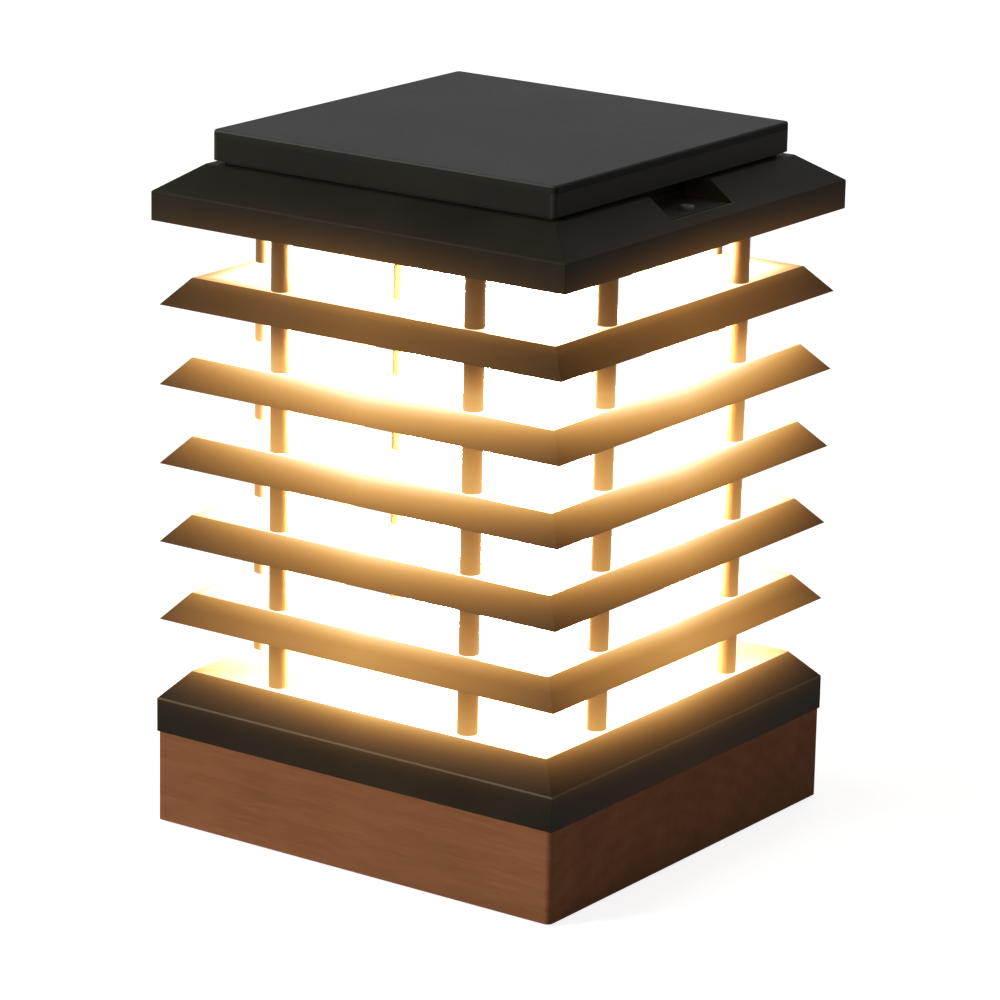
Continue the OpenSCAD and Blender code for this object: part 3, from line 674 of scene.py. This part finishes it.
cover_low, cover_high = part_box("panel_cover")
smoked, draw, shader = finish("smoked_acrylic", (0.04, 0.042, 0.04), 0.5, Specular_IOR_Level=0.02)
place = draw.node("ShaderNodeTexCoord", output="Object")
cloud = noise(draw, place, 22, 6)
dust = noise(draw, place, 500, 4)
rim_w = 0.0006
rim_h = 0.0008
out, _, height = side_places(draw, place)
# A thin band along the cover's rounded upper edge is coloured lighter: a painted highlight.
painted_rim_highlight = draw.maths("GREATER_THAN", out, cover_high.x - rim_w)
at_side = draw.maths("LESS_THAN", height, cover_high.z - rim_h)
worn = 0.6 * cloud + 0.4 * dust
colour = ramp(worn, (0.3, (0.032, 0.033, 0.032)), (0.7, (0.05, 0.051, 0.049)))
colour = over(draw, painted_rim_highlight, colour, (0.065, 0.065, 0.058))
colour = over(draw, at_side, colour, (0.019, 0.0175, 0.013))
grain = bump(draw, dust, 0.15, 0.00006)
feed(shader, Base_Color=colour, Roughness=0.42 + 0.2 * cloud, Normal=grain)

cover_half = cover_high.x
corner_r = 0.002
outline = rounded(
    [(cover_half, cover_low.z), (0, cover_low.z), (0, cover_high.z), (cover_half, cover_high.z)],
    (0, 0.0001, 0.001, 0),
)
points, faces = carried_round_square(outline, cover_half, corner_r)
piece("cover_sheet", points, faces, smoked, "solar_module", ["panel_cover"])


def flecked(name, colour, scale, dullest, spread, detail=2, **sockets):
    """A plain material whose gloss changes in small flecks: its roughness runs from dullest - spread
    to dullest with a noise of a scale."""
    made, draw, shader = finish(name, colour, dullest, **sockets)
    place = draw.node("ShaderNodeTexCoord", output="Object")
    feed(shader, Roughness=dullest - spread + spread * noise(draw, place, scale, detail))
    return made


coat_node("solar_panel", flecked("panel_backing", (0.03, 0.035, 0.06), 400, 0.6, 0.2, detail=3))

silicon, draw, shader = finish("silicon", (0.02, 0.025, 0.06), 0.2, 0.3)
place = draw.node("ShaderNodeTexCoord", output="Object")
crystals = draw.node("ShaderNodeTexVoronoi", inputs={"Vector": place, "Scale": 160}, output="Color")
fingers = draw.node(
    "ShaderNodeTexWave", {"bands_direction": "Y"}, {"Vector": place, "Scale": 160}
)
dark = draw.node(
    "ShaderNodeMix",
    {"data_type": "RGBA", "blend_type": "MULTIPLY"},
    {0: 0.5, 6: (0.03, 0.04, 0.1, 1), 7: crystals},
    output=2,
)
feed(shader, Base_Color=over(draw, fingers ** 12, dark, (0.3, 0.3, 0.32)))
coat_node("solar_cells", silicon)

# Solar module: floor, battery and control board
# The floor closes the body from below with four screws. On it stand the holder with three battery
# cells in shrink wrap and the green control board on its standoffs, with their red leads.
coat_node("module_floor", moulded)
coat_node("floor_screws", steel)
coat_node("battery_holder", rubber)
coat_node("battery_contacts", steel)

wrap_green = (0.06, 0.2, 0.08)
wrap, draw, shader = finish("battery_wrap", wrap_green, 0.35)
place = draw.node("ShaderNodeTexCoord", output="Object")
ripple = noise(draw, place, 260, 2)
band_from = 0.017
in_band = draw.maths(
    "GREATER_THAN", draw.node("ShaderNodeSeparateXYZ", inputs={0: place}, output="Y"), band_from
)
colour = over(draw, in_band, wrap_green, (0.7, 0.68, 0.6))
grain = bump(draw, ripple, 0.2, 0.0001)
feed(shader, Base_Color=colour, Normal=grain, Roughness=0.28 + 0.15 * ripple)
coat_node("battery_cells", wrap)

circuit, draw, shader = finish("circuit_board", (0.02, 0.12, 0.05), 0.4)
place = draw.node("ShaderNodeTexCoord", output="Object")
tracks = draw.node(
    "ShaderNodeTexBrick",
    {"offset": 0.37},
    {
        "Vector": place,
        "Color1": (0.02, 0.11, 0.045, 1),
        "Color2": (0.025, 0.14, 0.055, 1),
        "Mortar": (0.05, 0.22, 0.1, 1),
        "Scale": 60,
        "Mortar Size": 0.03,
    },
)
feed(shader, Base_Color=tracks)
coat_node("control_board", circuit)
coat_node("switch_board", circuit)

coat_node("board_parts", flecked("components", (0.02, 0.02, 0.02), 1200, 0.65, 0.25))

insulation = flecked("lead_insulation", (0.4, 0.02, 0.02), 800, 0.55, 0.25)
for node in ("panel_leads", "battery_leads", "light_leads", "button_leads"):
    coat_node(node, insulation)

# Solar module: light
# A white round board with eighteen light-emitting diodes hangs under the floor, behind a shallow
# opal lens that sits in the upper end of the tube.
coat_node("light_board", flecked("white_board", (0.8, 0.8, 0.78), 500, 0.5, 0.2))


def glowing(name, colour, strength, scale, deep, pale):
    """A material that shines with a strength, in a colour that runs from deep to pale with a noise
    of a scale."""
    made, draw, shader = finish(name, colour, 0.4, Emission_Strength=strength)
    place = draw.node("ShaderNodeTexCoord", output="Object")
    feed(shader, Emission_Color=ramp(noise(draw, place, scale, 2), (0.3, deep), (0.7, pale)))
    return made


phosphor = glowing("phosphor", (0.9, 0.75, 0.35), 20, 700, (1.0, 0.75, 0.4), (1.0, 0.9, 0.6))
coat_node("light_leds", phosphor)
lens = glowing("lens", opal_white, 8, 300, (1.0, 0.77, 0.45), (1.0, 0.82, 0.52))
coat_node("light_lens", lens)

# Power button and its switch
# A grey moulded button with a dished face stands out of the tab in the notch, on a spring of wound
# steel wire. A cover with two screws closes it in, with the switch's plunger and its small board.
button_grey = flecked("button_grey", (0.25, 0.24, 0.21), 1500, 0.5, 0.2, Specular_IOR_Level=0.2)

button_low, button_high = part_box("power_button")
flange_r = (button_high.x - button_low.x) / 2
flange_h = 0.001
flange_w = 0.0009
rim_w = 0.0009
dish = 0.0003
stem_r = flange_r - flange_w
flange_top = button_low.z + flange_h
top = button_high.z
outline = rounded(
    [
        (0, button_low.z),
        (flange_r, button_low.z),
        (flange_r, flange_top),
        (stem_r, flange_top),
        (stem_r, top),
        (stem_r - rim_w, top),
        (0, top - dish),
    ],
    (0, 0.0002, 0.0002, 0.0001, 0.0004, 0.0002, 0),
)
button_x = (button_low.x + button_high.x) / 2
points, faces = turned(outline, [(button_x, 0)])
piece("button_cap", points, faces, button_grey, "button", ["power_button"])
coat_node("switch_cover", moulded)
coat_node("switch_cover_screws", steel)
coat_node("switch_plunger", steel)


def coil(centre, radius, low, high, wire_r, turns=3, steps=145, sides=10):
    """Points and faces of a wire wound round an upright axis at x = centre. At angle u along the
    coil and angle v round the wire it lies radius + wire_r cos v from the axis, at a height that
    climbs evenly with u between its two ends, plus wire_r sin v. Flat faces close the ends."""
    u = np.linspace(0, 2 * pi * turns, steps)[:, None]
    v = np.linspace(0, 2 * pi, sides, endpoint=False)[None]
    r = radius + wire_r * np.cos(v)
    climb = low + wire_r + (high - low - 2 * wire_r) * u / u[-1]
    points = np.stack([centre + r * np.cos(u), r * np.sin(u), climb + wire_r * np.sin(v)], -1)
    ring = np.arange(sides)
    ends = [ring.tolist(), (ring + (steps - 1) * sides).tolist()]
    return points, quads(steps, sides)[:-sides].tolist() + ends


spring_low, spring_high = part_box("button_spring")
wire_r = 0.00018
coil_r = (spring_high.x - spring_low.x) / 2 - wire_r
points, faces = coil(button_x, coil_r, spring_low.z, spring_high.z, wire_r)
spring = piece(
    "button_coil", points, faces, steel, "solar_module", ["button_spring"], sharp=60
)
travel = next(joint["range_m"][1] for joint in frame["joints"] if joint["name"] == "button_press")
pressed = 1 - travel / (spring_high.z - spring_low.z)
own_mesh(spring)
